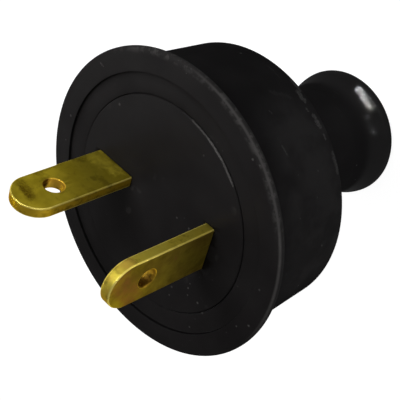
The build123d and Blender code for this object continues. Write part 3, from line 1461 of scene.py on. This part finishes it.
        # Both rings paint the flange's edge lighter: partly wear, partly a painted highlight where the
        # edge's rounding catches the lamps; the second, nearly even ring paints the thin highlight line.
        broken = WearAndHighlightRing(
            *edge, reach=1.1, strength=0.45, toward=(0.25, 0.97, 0.0), patch=0.9, evenness=0.2
        )
        whole = WearAndHighlightRing(
            *edge, reach=0.45, strength=0.9, toward=(0.8, 0.6, 0.0), patch=3.0, evenness=0.8
        )
        nick = Mark((-14.4, 12.1, 37.6), (-13.8, 12.0, 37.6), 0.16, 0.9, 2.5)
        return RubberFinish.front("front_rubber", rings=(broken, whole), marks=(nick,))

    def build(self, effects: SharedEffects) -> Piece:
        """Models and dresses the cover.

        Args:
            effects: The shared node groups.

        Returns:
            The piece.
        """
        cover = self.section().spin("cover_moulding")
        smooth(cover, self.sharpest)
        for face in cover.data.polygons:
            face.material_index = self.face_kind(face.center, face.normal)
        # The step's walls inside the rim get blacker rubber than the face: painted shade for the recess.
        step = RubberFinish.painted_shade("painted_shade_rubber")
        in_order = (self.drum_finish(), self.handled_finish(), self.face_finish(), step)
        return hand_over(cover, self.node, Slot.COVER, *(finish.make(effects) for finish in in_order))


@dataclass
class FlatPin:
    """Brass pin: a blade with a round tip and a hole, bent at its foot into a tapped tail.

    Attributes:
        node: The solid that it stands for.
        stand: Middle of the foot, on the block's rear face.
        turn: Turn about the plug's axis.
        width: Width of the strip.
        thickness: Thickness of the strip.
        tip_height: Height of the tip above the foot.
        tail_end: Distance from the blade's middle plane to the end of the tail.
        hole_radius: Radius of the hole near the tip.
        hole_to_tip: Distance from the hole's centre to the tip.
        screw_radius: Radius of the tapped hole in the tail.
        bend_radius: Radius inside the bend.
        edge_round: Radius of the strip's rubbed edges.
        hole_round: Width of the eased edge round the hole.
        tip_round: Radius of the rounded ends, as a share of half the width.
        flat_tilt: Share of a normal across the strip, past which a face is flat.
        side_tilt: Share below which a face is a narrow side.
        bend_steps: Number of steps in the bend.
        tip_steps: Number of flats in each corner of a rounded end.
        edge_steps: Number of flats in a rubbed edge.
        hole_steps: Number of flats in the eased edge of the hole.
        rubbed_from: Turn from one face to the next, in degrees, from which their edge is rubbed.
        sharpest: Sharpest edge that is shaded smooth, in degrees.
    """

    node: str
    stand: Vector
    turn: float
    width: float
    thickness: float
    tip_height: float
    tail_end: float
    hole_radius: float = 1.28 * MM
    hole_to_tip: float = 5.7 * MM
    screw_radius: float = 1.75 * MM
    bend_radius: float = 0.6 * MM
    edge_round: float = 0.2 * MM
    hole_round: float = 0.15 * MM
    tip_round: float = 0.998
    flat_tilt: float = 0.97
    side_tilt: float = 0.12
    bend_steps: int = 10
    tip_steps: int = 28
    edge_steps: int = 4
    hole_steps: int = 3
    rubbed_from: float = 50.0
    sharpest: float = 40.0

    @classmethod
    def radial(cls) -> FlatPin:
        """Takes the pin whose width runs along X from the frame.

        Returns:
            The pin.
        """
        low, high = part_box("radial_pin")
        thickness = -2 * low.y
        return cls(
            node="radial_pin",
            stand=Vector(((low.x + high.x) / 2, 0, low.z + thickness)),
            turn=0.0,
            width=high.x - low.x,
            thickness=thickness,
            tip_height=high.z - low.z - thickness,
            tail_end=high.y,
        )

    @classmethod
    def crosswise(cls) -> FlatPin:
        """Takes the pin whose width runs along Y from the frame.

        Returns:
            The pin.
        """
        low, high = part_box("crosswise_pin")
        mate_low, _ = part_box("radial_pin")
        thickness = -2 * mate_low.y
        middle = high.x - thickness / 2
        return cls(
            node="crosswise_pin",
            stand=Vector((middle, 0, low.z + thickness)),
            turn=math.pi / 2,
            width=high.y - low.y,
            thickness=thickness,
            tip_height=high.z - low.z - thickness,
            tail_end=middle - low.x,
        )

    def terminal(self) -> Vector:
        """Gives the middle of the tapped hole in the tail."""
        offset = Vector((0, self.tail_end - self.width / 2, 0))
        return self.stand + Matrix.Rotation(self.turn, 3, "Z") @ offset

    def slot_mouth(self, height: float, ease: float) -> Piece:
        """Models a shallow block that eases the slot's mouth in a face that the pin stands out of.

        Args:
            height: Height of the face.
            ease: Depth of the mouth, and its width round the pin.

        Returns:
            The block to cut with.
        """
        size = Vector((self.width + 2 * ease, self.thickness + 2 * ease, 2 * ease))
        mouth = block_of(size, Vector((0, 0, 0)))
        mouth.rotation_euler = (0, 0, self.turn)
        mouth.location = (self.stand.x, self.stand.y, height)
        settle(mouth)
        return mouth

    def strip(self) -> Piece:
        """Models the bent strip in its own frame: x across the blade, y along the tail, z up the blade.

        Returns:
            The strip, with its outline rounded at both ends and no holes.
        """
        near = MM / 100
        half_width, half_thickness = self.width / 2, self.thickness / 2
        straight = self.tip_height - self.bend_radius
        bpy.ops.object.select_all(action="DESELECT")
        bpy.ops.mesh.primitive_cube_add(size=1, location=(0, 0, self.bend_radius + straight / 2))
        strip = bpy.context.object
        strip.scale = (self.width, self.thickness, straight)
        settle(strip)
        with editing(strip):
            pick_faces(strip, lambda middle, normal: normal.z < -0.5)
            bpy.ops.mesh.spin(
                steps=self.bend_steps,
                angle=-math.pi / 2,
                center=(0, half_thickness + self.bend_radius, self.bend_radius),
                axis=(1, 0, 0),
            )
            run = self.tail_end - half_thickness - self.bend_radius
            bpy.ops.mesh.extrude_region_move(TRANSFORM_OT_translate={"value": (0, run, 0)})
            bpy.ops.mesh.select_all(action="SELECT")
            bpy.ops.mesh.remove_doubles(threshold=near / 10)
            bpy.ops.mesh.normals_make_consistent(inside=False)
            for level, axis in ((self.tip_height, 2), (self.tail_end, 1)):
                pick_edges(
                    strip,
                    lambda first, second: abs(first.x - second.x) < near
                    and abs(abs(first.x) - half_width) < near
                    and min(first[axis], second[axis]) > level - near,
                )
                bpy.ops.mesh.bevel(
                    offset=half_width * self.tip_round,
                    segments=self.tip_steps,
                    affect="EDGES",
                    clamp_overlap=False,
                )
            bpy.ops.mesh.select_all(action="DESELECT")
            bpy.ops.mesh.select_mode(type="EDGE")
            bpy.ops.mesh.edges_select_sharp(sharpness=math.radians(self.rubbed_from))
            bpy.ops.mesh.bevel(
                offset=self.edge_round, segments=self.edge_steps, affect="EDGES", clamp_overlap=False
            )
        return strip

    def face_kind(self, centre: Vector, normal: Vector) -> PinFace:
        """Tells which of the pin's surfaces a face belongs to, in the strip's own frame.

        Args:
            centre: Middle of the face.
            normal: Its direction.

        Returns:
            The kind of surface.
        """
        tilt = abs(normal.y)
        if tilt > self.flat_tilt:
            return PinFace.FLAT
        from_hole = math.hypot(centre.x, centre.z - self.tip_height + self.hole_to_tip)
        if from_hole < self.hole_radius + self.hole_round:
            return PinFace.HOLE
        return PinFace.EDGE if tilt > self.side_tilt else PinFace.SIDE

    def build(self, finishes: Sequence[bpy.types.Material]) -> Piece:
        """Models the pin, puts it in its place and dresses it.

        Args:
            finishes: Materials of the flat sides, the narrow sides, the rounded edges and the hole.

        Returns:
            The piece.
        """
        near, drill_length = MM / 100, 4 * self.thickness
        pin = self.strip()
        pin.name = pin.data.name = f"{self.node}_strip"
        hole = Vector((0, 0, self.tip_height - self.hole_to_tip))
        tap = Vector((0, self.tail_end - self.width / 2, -self.thickness / 2))
        combine(pin, round_drill(self.hole_radius, hole, Vector((0, 1, 0)), drill_length))
        combine(pin, round_drill(self.screw_radius, tap, Vector((0, 0, 1)), drill_length))

        def on_hole(end: Vector) -> bool:
            """Tells whether a point lies on the hole's wall."""
            return abs(math.hypot(end.x, end.z - hole.z) - self.hole_radius) < near

        with editing(pin):
            pick_edges(
                pin,
                lambda first, second: on_hole(first) and on_hole(second) and abs(first.y - second.y) < near,
            )
            bpy.ops.mesh.bevel(offset=self.hole_round, segments=self.hole_steps, affect="EDGES")
        for face in pin.data.polygons:
            face.material_index = self.face_kind(face.center, face.normal)
        take_up(pin)
        pin.rotation_euler = (0, 0, self.turn)
        pin.location = self.stand
        settle(pin)
        smooth(pin, self.sharpest)
        add_modifier(pin, "WEIGHTED_NORMAL", keep_sharp=True)
        return hand_over(pin, self.node, Slot.PIN, *finishes)


@dataclass
class ContactBlock:
    """Moulded block that carries both pins: a disc with a flange behind it, and a barrier at the rear.

    Sizes are in millimetres, and round sizes are radii.

    Attributes:
        face_height: Height of the face, from the frame.
        flange_radius: Outside of the flange, from the frame.
        barrier_foot: Height of the barrier's free edge, from the frame.
        disc: Disc that shows in the cover's mouth.
        lip_height: Front of the flange.
        shoulder_height: Rear of the flange.
        edge_round: Rounding of the flange and the barrier.
        face_round: Rounding of the face's edge.
        barrier_thickness: Thickness of the barrier.
        barrier_radius: Reach of the barrier from the axis.
        barrier_sunk: Depth that the barrier is sunk into the disc.
        screw_hole: Well for the end of a terminal screw.
        screw_hole_depth: Depth of that well.
        mouth_ease: Depth and width of the eased slot mouths.
        cut_drop: Drop of the pins while their slots are cut, which keeps their tails off the rear.
        turn_steps: Number of steps in the full turn.
        bound_sides: Number of flats in the round that bounds the barrier.
        edge_steps: Number of flats in the barrier's rounding.
        sharpest: Sharpest edge that is shaded smooth, in degrees.
    """

    face_height: float
    flange_radius: float
    barrier_foot: float
    disc: float = 14.06
    lip_height: float = 35.0
    shoulder_height: float = 32.0
    edge_round: float = 0.3
    face_round: float = 0.18
    barrier_thickness: float = 1.4
    barrier_radius: float = 13.06
    barrier_sunk: float = 1.0
    screw_hole: float = 2.0
    screw_hole_depth: float = 2.7
    mouth_ease: float = 0.1
    cut_drop: float = 0.002
    turn_steps: int = 192
    bound_sides: int = 128
    edge_steps: int = 3
    sharpest: float = 35.0

    node = "contact_block"

    @classmethod
    def from_frame(cls) -> ContactBlock:
        """Takes the block's outer sizes from the frame.

        Returns:
            The block.
        """
        low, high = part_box(cls.node)
        return cls(face_height=high.z / MM, flange_radius=high.x / MM, barrier_foot=low.z / MM)

    def barrier(self, middle: float) -> Piece:
        """Models the wall between the two terminals.

        Args:
            middle: Place of the wall's middle along X, in metres.

        Returns:
            The wall, a little sunk into the disc.
        """
        near = 0.01
        top = self.shoulder_height + self.barrier_sunk
        height = top - self.barrier_foot
        centre = Vector((0, 0, top - height / 2)) * MM
        wall = block_of(
            Vector((self.barrier_thickness, 3 * self.barrier_radius, height)) * MM,
            centre + Vector((middle, 0, 0)),
        )
        up = Vector((0, 0, 1))
        bounds = round_drill(self.barrier_radius * MM, centre, up, 2 * height * MM, self.bound_sides)
        combine(wall, bounds, Join.SHARE)
        with editing(wall):
            foot = (self.barrier_foot + near) * MM
            pick_edges(wall, lambda first, second: max(first.z, second.z) < foot)
            bpy.ops.mesh.bevel(offset=self.edge_round * MM, segments=self.edge_steps, affect="EDGES")
        return wall

    def build(self, pins: Sequence[FlatPin], strips: Sequence[Piece], effects: SharedEffects) -> Piece:
        """Models the block round the pins and dresses it.

        Args:
            pins: The two pins, which give the places of the terminals.
            strips: The finished pins, which leave their shape in the block.
            effects: The shared node groups.

        Returns:
            The piece.
        """
        block = TurnedSection([
            Corner(0, self.face_height),
            Corner(self.disc, self.face_height, self.face_round, 4),
            Corner(self.disc, self.lip_height),
            Corner(self.flange_radius, self.lip_height, self.edge_round, 4),
            Corner(self.flange_radius, self.shoulder_height, self.edge_round, 4),
            Corner(0, self.shoulder_height),
        ], steps=self.turn_steps).spin("block_moulding")
        screws = [pin.terminal() for pin in pins]
        combine(block, self.barrier((screws[0].x + screws[1].x) / 2), Join.ADD)
        for pin, strip, screw in zip(pins, strips, screws):
            middle = Vector((screw.x, screw.y, self.shoulder_height * MM))
            along = Vector((0, 0, 1))
            combine(block, round_drill(self.screw_hole * MM, middle, along, 2 * self.screw_hole_depth * MM))
            combine(block, pin.slot_mouth(self.face_height * MM, self.mouth_ease * MM))
            block.location.z = self.cut_drop * MM
            combine(block, strip, keep_tool=True)
            block.location.z = 0
        smooth(block, self.sharpest)
        add_modifier(block, "WEIGHTED_NORMAL", keep_sharp=True)
        # Lighter marks along the disc's edge between 47 and 84 degrees about the axis: a painted highlight
        # where the edge's rounding catches the lamps.
        painted_edge_highlight = (
            Mark.along(self.disc, 84.0, 72.0, self.face_height, 0.20, 0.5),
            Mark.along(self.disc, 72.0, 60.0, self.face_height, 0.22, 0.9),
            Mark.along(self.disc, 60.0, 47.0, self.face_height, 0.20, 0.7),
        )
        finish = RubberFinish.front("front_block", marks=painted_edge_highlight)
        return hand_over(block, self.node, Slot.BLOCK, finish.make(effects))


@dataclass
class Terminals:
    """Screws and washers that clamp the wires behind the block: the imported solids, dressed.

    Attributes:
        nodes: Names of the solids.
        finish: Their brass, cleaner than the pins'.
    """

    nodes: tuple[str, ...] = (
        "radial_terminal_washer",
        "crosswise_terminal_washer",
        "radial_terminal_screw",
        "crosswise_terminal_screw",
    )
    finish: BrassFinish = BrassFinish(
        "plain_brass", bright=(0.80, 0.64, 0.10), olive=(0.50, 0.39, 0.05), metal=0.9
    )

    def dress(self, solids: dict[str, Piece], effects: SharedEffects) -> None:
        """Gives each solid the terminals' brass.

        Args:
            solids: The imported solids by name.
            effects: The shared node groups.
        """
        brass = self.finish.make(effects)
        for node in self.nodes:
            for slot in solids[node].material_slots:
                slot.material = brass
            LOG.info("%s keeps its solid", node)


# The studio


@dataclass(frozen=True)
class Viewpoint:
    """Camera, placed as the picture's.

    Attributes:
        aim: Point that the middle of the picture looks at, in millimetres.
        distance: Distance from the camera to that point, in millimetres.
        azimuth: Direction of the camera round the plug, in degrees.
        elevation: Height of the camera above the horizon, in degrees.
        roll: Turn of the picture about the line of sight, in degrees.
        lens: Focal length in millimetres.
        sensor: Width of the sensor in millimetres.
        nearest: Nearest distance that is drawn, in millimetres.
    """

    aim: Point = (1.126, -0.758, 30.667)
    distance: float = 129.12
    azimuth: float = 142.368
    elevation: float = 40.798
    roll: float = -112.825
    lens: float = 91.60
    sensor: float = 36.0
    nearest: float = 5.0

    def axes(self) -> tuple[Vector, Vector, Vector]:
        """Works out the picture's axes.

        Returns:
            The directions to the right, up and towards the viewer.
        """
        azimuth, elevation, roll = (math.radians(a) for a in (self.azimuth, self.elevation, self.roll))
        towards = Vector((
            math.sin(azimuth) * math.cos(elevation),
            -math.cos(azimuth) * math.cos(elevation),
            math.sin(elevation),
        ))
        level_right = Vector((0, 0, 1)).cross(towards).normalized()
        level_up = towards.cross(level_right)
        right = level_right * math.cos(roll) + level_up * math.sin(roll)
        return right, towards.cross(right), towards

    def direction(self, right: float, up: float, towards: float) -> Vector:
        """Turns a direction seen in the picture into one in the plug's frame.

        Args:
            right: Share to the right.
            up: Share upwards.
            towards: Share towards the viewer.

        Returns:
            The direction, of length 1.
        """
        axes = self.axes()
        return (axes[0] * right + axes[1] * up + axes[2] * towards).normalized()

    def place_camera(self) -> None:
        """Adds the camera and makes it the scene's own."""
        right, up, towards = self.axes()
        data = bpy.data.cameras.new("camera")
        data.lens = self.lens
        data.sensor_width = self.sensor
        data.clip_start = self.nearest * MM
        camera = bpy.data.objects.new("camera", data)
        bpy.context.scene.collection.objects.link(camera)
        turn = Matrix((right, up, towards)).transposed().to_4x4()
        eye = Vector(self.aim) * MM + towards * self.distance * MM
        camera.matrix_world = Matrix.Translation(eye) @ turn
        bpy.context.scene.camera = camera


class LampUse(Enum):
    """What a lamp is there for."""

    LIGHT = "matt light and highlights"
    MATT = "matt light alone"
    GLOSS = "highlights alone"


@dataclass(frozen=True)
class SoftBox:
    """Studio lamp with a flat oblong face.

    Attributes:
        name: Name of the lamp.
        seen: Direction from its target in the picture: right, up and towards the viewer.
        distance: Distance from its target, in metres.
        width: Width along the floor, in metres.
        height: Height in metres.
        brightness: Radiance of its face.
        target: Point that it faces, in millimetres.
        use: What it is there for.
    """

    name: str
    seen: Point
    distance: float
    width: float
    height: float
    brightness: float
    target: Point = (0.0, 0.0, 30.0)
    use: LampUse = LampUse.LIGHT

    def hang(self, viewpoint: Viewpoint) -> None:
        """Adds the lamp, turned towards the plug.

        Args:
            viewpoint: The camera, which gives the picture's axes.
        """
        data = bpy.data.lights.new(self.name, "AREA")
        data.shape = "RECTANGLE"
        data.size, data.size_y = self.width, self.height
        data.energy = self.brightness * math.pi * self.width * self.height
        data.cycles.use_multiple_importance_sampling = False
        away = viewpoint.direction(*self.seen)
        lamp = bpy.data.objects.new(self.name, data)
        bpy.context.scene.collection.objects.link(lamp)
        lamp.location = Vector(self.target) * MM + away * self.distance
        lamp.rotation_mode = "QUATERNION"
        lamp.rotation_quaternion = away.to_track_quat("Z", "Y")
        lamp.visible_camera = False
        lamp.visible_diffuse = self.use is not LampUse.GLOSS
        lamp.visible_glossy = self.use is not LampUse.MATT


@dataclass(frozen=True)
class Studio:
    """White floor, pale surroundings and soft boxes.

    Attributes:
        floor_size: Side of the floor in metres.
        floor_grey: Grey of the floor, which the lamps light and the shadow darkens.
        floor_roughness: Roughness of the floor.
        floor_glow: Plain white that is added to the floor as it is seen.
        horizon: Brightness of the surroundings at the horizon.
        zenith: Brightness of the surroundings overhead.
        sky_top: Upward share of a direction, from which the surroundings are as overhead.
        flag_place: Middle of the black card that keeps the window's light off the drum, in millimetres.
        flag_size: Width, thickness and height of that card, in millimetres.
        lamps: The soft boxes.
    """

    floor_size: float = 6.0
    floor_grey: float = 0.25
    floor_roughness: float = 0.9
    floor_glow: float = 0.93
    horizon: float = 0.62
    zenith: float = 0.16
    sky_top: float = 0.7
    flag_place: Point = (0.0, 60.0, 30.0)
    flag_size: Point = (140.0, 0.5, 60.0)
    lamps: tuple[SoftBox, ...] = (
        SoftBox("window", (0.491, 0.777, 0.393), 0.34, 0.26, 0.044, 80.0, (3.0, 8.0, 3.0), LampUse.GLOSS),
        SoftBox("window_side", (0.90, 0.19, 0.40), 0.34, 0.20, 0.010, 22.0, (3.0, 8.0, 3.0), LampUse.GLOSS),
        SoftBox("side_fill", (0.88, 0.10, 0.46), 0.34, 0.20, 0.10, 7.2, use=LampUse.MATT),
        SoftBox("main_box", (-0.60, 0.36, 0.72), 0.15, 0.105, 0.105, 4.5),
        SoftBox("left_box", (-0.97, -0.04, -0.15), 0.42, 0.22, 0.22, 1.6),
        SoftBox("camera_box", (0.30, -0.10, 0.95), 0.50, 0.30, 0.30, 2.0),
    )

    def lay_floor(self) -> None:
        """Adds the floor, which shows white, keeps the shadow and lets low lamps shine past it."""
        bpy.ops.object.select_all(action="DESELECT")
        bpy.ops.mesh.primitive_plane_add(size=self.floor_size)
        floor = bpy.context.object
        floor.name = "floor"
        material, wiring, shader = new_material("white_floor")
        shader.inputs["Base Color"].default_value = (*[self.floor_grey] * 3, 1)
        shader.inputs["Roughness"].default_value = self.floor_roughness
        shader.inputs["Specular IOR Level"].default_value = 0.0
        glow = wiring.node("ShaderNodeEmission")
        path = wiring.node("ShaderNodeLightPath")
        seen = wiring.math("MAXIMUM", path.outputs["Is Camera Ray"], wiring.math(
            "MAXIMUM", path.outputs["Is Glossy Ray"], path.outputs["Is Transmission Ray"]
        ))
        wiring.feed(glow.inputs["Strength"], wiring.math("MULTIPLY", seen, self.floor_glow))
        both = wiring.node("ShaderNodeAddShader")
        wiring.feed(both.inputs[0], shader.outputs[0])
        wiring.feed(both.inputs[1], glow.outputs[0])
        output = material.node_tree.nodes["Material Output"]
        wiring.feed(output.inputs["Surface"], both.outputs[0])
        floor.data.materials.append(material)
        floor.visible_shadow = False

    def hang_flag(self) -> None:
        """Hangs a black card that only throws a shadow."""
        flag = block_of(Vector(self.flag_size) * MM, Vector(self.flag_place) * MM)
        flag.name = "flag"
        material, _, shader = new_material("black_card")
        shader.inputs["Base Color"].default_value = (0, 0, 0, 1)
        flag.data.materials.append(material)
        flag.visible_camera = flag.visible_diffuse = flag.visible_glossy = flag.visible_transmission = False

    def fill_world(self) -> None:
        """Lights the surroundings: pale at the horizon, darker overhead."""
        world = bpy.data.worlds.new("surroundings")
        world.use_nodes = True
        bpy.context.scene.world = world
        wiring = Wiring(world.node_tree)
        coordinates = wiring.node("ShaderNodeTexCoord")
        parts = wiring.node("ShaderNodeSeparateXYZ")
        wiring.feed(parts.inputs[0], coordinates.outputs["Generated"])
        height = wiring.fade(parts.outputs["Z"], 0.0, self.sky_top)
        background = world.node_tree.nodes["Background"]
        wiring.feed(background.inputs["Strength"], wiring.blend(height, self.horizon, self.zenith))
        background.inputs["Color"].default_value = (1, 1, 1, 1)

    def set_up(self, viewpoint: Viewpoint) -> None:
        """Builds the whole studio.

        Args:
            viewpoint: The camera, which gives the picture's axes.
        """
        self.lay_floor()
        self.hang_flag()
        self.fill_world()
        for lamp in self.lamps:
            lamp.hang(viewpoint)
        bpy.context.scene.view_settings.view_transform = "Standard"


def corners(box: tuple[Vector, Vector]) -> list[list[float]]:
    """Writes a box's two corners as plain lists."""
    return [list(corner) for corner in box]


def main() -> None:
    """Builds the plug's pieces in order, then the studio."""
    logging.basicConfig(level=logging.INFO, format="%(name)s: %(message)s")
    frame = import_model()
    effects = SharedEffects.build()
    pins = (FlatPin.radial(), FlatPin.crosswise())
    shared = [finish.make(effects) for finish in edge_brass()]
    strips = []
    for pin, sides in zip(pins, (radial_brass(), crosswise_brass())):
        strips.append(pin.build([*(finish.make(effects) for finish in sides), *shared]))
    ContactBlock.from_frame().build(pins, strips, effects)
    RubberCover.from_frame().build(effects)
    Terminals().dress(frame["nodes"], effects)
    viewpoint = Viewpoint()
    viewpoint.place_camera()
    Studio().set_up(viewpoint)
    bpy.context.view_layer.update()


if __name__ == "__main__":
    main()
